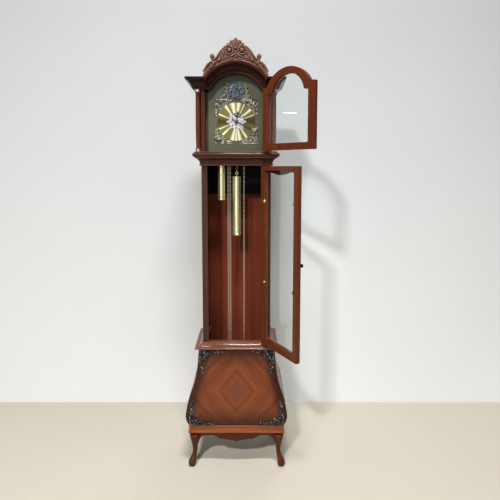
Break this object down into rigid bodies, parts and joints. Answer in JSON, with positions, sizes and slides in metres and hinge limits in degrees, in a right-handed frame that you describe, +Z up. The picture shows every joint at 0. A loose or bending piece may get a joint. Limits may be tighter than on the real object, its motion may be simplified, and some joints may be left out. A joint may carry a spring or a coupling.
{
  "type": "grandfather clock",
  "caption": "Weight-driven longcase clock with an arched glazed hood, a glazed trunk door, a carved crest and a bombe base on cabriole legs.",
  "frame": {"origin": "on the floor, at the centre of the four feet's glide sockets", "axes": "+Z up, -Y to the front, +X to the right as seen from the front"},
  "size_m": [0.55, 0.4325, 1.909],
  "materials": {
    "mahogany": "red-brown mahogany stain under satin varnish",
    "dark_mahogany": "dark mahogany stain under satin varnish",
    "brass": "polished and lacquered",
    "steel": "plain",
    "black_enamel": "black enamel",
    "glass": "clear window glass",
    "olive_lacquer": "satin olive-gold lacquer",
    "silvered_brass": "silvered and engraved"
  },
  "bodies": {
    "case": {"front_legs": "mahogany", "rear_legs": "mahogany", "aprons": "mahogany", "plinth_moulding": "mahogany", "base_floor": "dark_mahogany", "bombe_front": "mahogany", "bombe_sides": "mahogany", "base_back_board": "dark_mahogany", "base_carvings": "dark_mahogany", "cap_moulding": "mahogany", "trunk_sides": "mahogany", "trunk_posts": "mahogany", "trunk_back_board": "mahogany", "waist_moulding": "mahogany", "hood_sides": "mahogany", "hood_back_board": "dark_mahogany", "hood_frame": "mahogany", "hood_columns": "mahogany", "column_caps": "brass", "cornice_sides": "dark_mahogany", "cornice_arch": "dark_mahogany", "hood_roof": "dark_mahogany", "crest": "mahogany", "dial_liner": "dark_mahogany", "dial_plate": "olive_lacquer", "chapter_disc": "brass", "dial_centre": "silvered_brass", "arch_boss": "silvered_brass", "spandrels": "brass", "seat_board": "dark_mahogany", "movement_plates": "brass", "chime_rods": "steel", "case_hinge_leaves": "brass", "chain_over_wheels": "steel", "chime_chain": "steel"},
    "trunk_door": {"trunk_door_stiles": "mahogany", "trunk_door_rails": "mahogany", "trunk_door_glass": "glass", "trunk_door_fittings": "brass"},
    "hood_door": {"hood_door_frame": "mahogany", "hood_door_head": "mahogany", "hood_door_glass": "glass", "hood_door_fittings": "brass"},
    "minute_set": {"minute_hand": "black_enamel", "minute_arbor": "steel"},
    "hour_set": {"hour_hand": "black_enamel", "hour_wheel": "brass"},
    "minute_wheel": {"minute_wheel": "brass"},
    "strike_chain_wheel": {"strike_chain_wheel": "brass"},
    "going_chain_wheel": {"going_chain_wheel": "brass"},
    "chime_chain_wheel": {"chime_chain_wheel": "brass"},
    "strike_weight": {"strike_weight": "brass", "strike_weight_chain": "steel"},
    "going_weight": {"going_weight": "brass", "going_weight_chain": "steel"},
    "strike_chain_end": {"strike_chain_ring": "brass", "strike_free_chain": "steel"},
    "going_chain_end": {"going_chain_ring": "brass", "going_free_chain": "steel"},
    "pallets": {"pallets_and_leader": "steel"}
  },
  "joints": [
    {"name": "trunk_door_hinge", "type": "hinge", "parent": "case", "child": "trunk_door", "pos_m": [0.1281, -0.067, 0.95], "axis": [0, 0, 1], "range_deg": [-122.7, 45]},
    {"name": "hood_door_hinge", "type": "hinge", "parent": "case", "child": "hood_door", "pos_m": [0.1351, -0.086, 1.55], "axis": [0, 0, 1], "range_deg": [-136, 0]},
    {"name": "minute_hand_turn", "type": "hinge", "parent": "case", "child": "minute_set", "pos_m": [0, -0.034, 1.564], "axis": [0, 1, 0], "continuous": true},
    {"name": "hour_hand_turn", "type": "hinge", "parent": "case", "child": "hour_set", "pos_m": [0, -0.034, 1.564], "axis": [0, 1, 0], "continuous": true},
    {"name": "minute_wheel_turn", "type": "hinge", "parent": "case", "child": "minute_wheel", "pos_m": [-0.01879, -0.022, 1.55716], "axis": [0, 1, 0], "continuous": true},
    {"name": "strike_weight_fall", "type": "slide", "parent": "case", "child": "strike_weight", "axis": [0, 0, 1], "range_m": [-0.6, 0.008], "deforming": ["strike_weight_chain"]},
    {"name": "going_weight_fall", "type": "slide", "parent": "case", "child": "going_weight", "axis": [0, 0, 1], "range_m": [-0.44, 0.13], "deforming": ["going_weight_chain"]},
    {"name": "strike_chain_rise", "type": "slide", "parent": "case", "child": "strike_chain_end", "axis": [0, 0, 1], "range_m": [-0.008, 0.6], "deforming": ["strike_free_chain"]},
    {"name": "going_chain_rise", "type": "slide", "parent": "case", "child": "going_chain_end", "axis": [0, 0, 1], "range_m": [-0.13, 0.44], "deforming": ["going_free_chain"]},
    {"name": "strike_wheel_turn", "type": "hinge", "parent": "case", "child": "strike_chain_wheel", "pos_m": [-0.0562, 0.024, 1.536], "axis": [0, 1, 0], "range_deg": [-2262, 31]},
    {"name": "going_wheel_turn", "type": "hinge", "parent": "case", "child": "going_chain_wheel", "pos_m": [-0.0161, 0.024, 1.536], "axis": [0, 1, 0], "range_deg": [-491, 1659]},
    {"name": "chime_wheel_turn", "type": "hinge", "parent": "case", "child": "chime_chain_wheel", "pos_m": [0.048, 0.024, 1.536], "axis": [0, 1, 0], "continuous": true},
    {"name": "pallets_rock", "type": "hinge", "parent": "case", "child": "pallets", "pos_m": [0.018, 0.024, 1.64], "axis": [0, 1, 0], "range_deg": [-3, 3]}
  ],
  "couplings": [
    {"joint": "hour_hand_turn", "follows": "minute_hand_turn", "ratio": 0.083333},
    {"joint": "minute_wheel_turn", "follows": "minute_hand_turn", "ratio": -0.33333},
    {"joint": "strike_wheel_turn", "follows": "strike_weight_fall", "rad_per_m": 65.79},
    {"joint": "strike_chain_rise", "follows": "strike_weight_fall", "ratio": -1},
    {"joint": "going_wheel_turn", "follows": "going_weight_fall", "rad_per_m": -65.79},
    {"joint": "going_chain_rise", "follows": "going_weight_fall", "ratio": -1}
  ]
}
